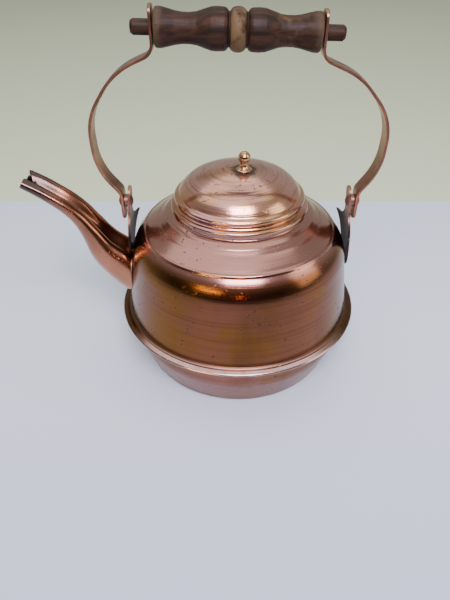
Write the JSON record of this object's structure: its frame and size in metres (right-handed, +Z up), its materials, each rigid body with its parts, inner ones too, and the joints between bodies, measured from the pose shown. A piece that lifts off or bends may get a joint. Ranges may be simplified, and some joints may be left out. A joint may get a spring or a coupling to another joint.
{
  "type": "kettle",
  "caption": "Spun copper kettle with a heart-section spout, loose domed lid with a brass knob, and a swinging bail with a turned wooden grip.",
  "frame": {"origin": "centre of the flat base, on the plane it rests on", "axes": "+Z up, spout towards -X, the bail swings about an axis along X"},
  "size_m": [0.2372, 0.176, 0.2407],
  "materials": {
    "copper": "satin spun copper",
    "copper_dark": "darkened copper",
    "solder": "dull tin solder",
    "rivet": "tarnished copper rivet",
    "brass": "polished brass",
    "wood": "dark varnished turned wood"
  },
  "bodies": {
    "kettle": {"body_shell": "copper", "base_pan": "copper", "spout": "copper", "spout_solder": "solder", "ear_left": "copper_dark", "ear_right": "copper_dark", "ear_rivet_left": "rivet", "ear_rivet_right": "rivet", "pivot_rivet_left": "rivet", "pivot_rivet_right": "rivet", "pivot_washer_left": "rivet", "pivot_washer_right": "rivet"},
    "bail": {"bail_strap_left": "copper_dark", "bail_strap_right": "copper_dark"},
    "grip": {"grip": "wood"},
    "lid": {"lid_dome": "copper", "lid_collar": "copper", "lid_knob": "brass", "knob_washer": "brass"}
  },
  "joints": [
    {"name": "bail_swing", "type": "hinge", "parent": "kettle", "child": "bail", "pos_m": [0, 0, 0.123], "axis": [1, 0, 0], "range_deg": [-105, 105]},
    {"name": "grip_spin", "type": "hinge", "parent": "bail", "child": "grip", "pos_m": [-0.0024, 0, 0.227], "axis": [0.9996, 0, -0.0279], "continuous": true},
    {"name": "lid_lift", "type": "slide", "parent": "kettle", "child": "lid", "axis": [0, 0, 1], "range_m": [0, 0.045]}
  ]
}
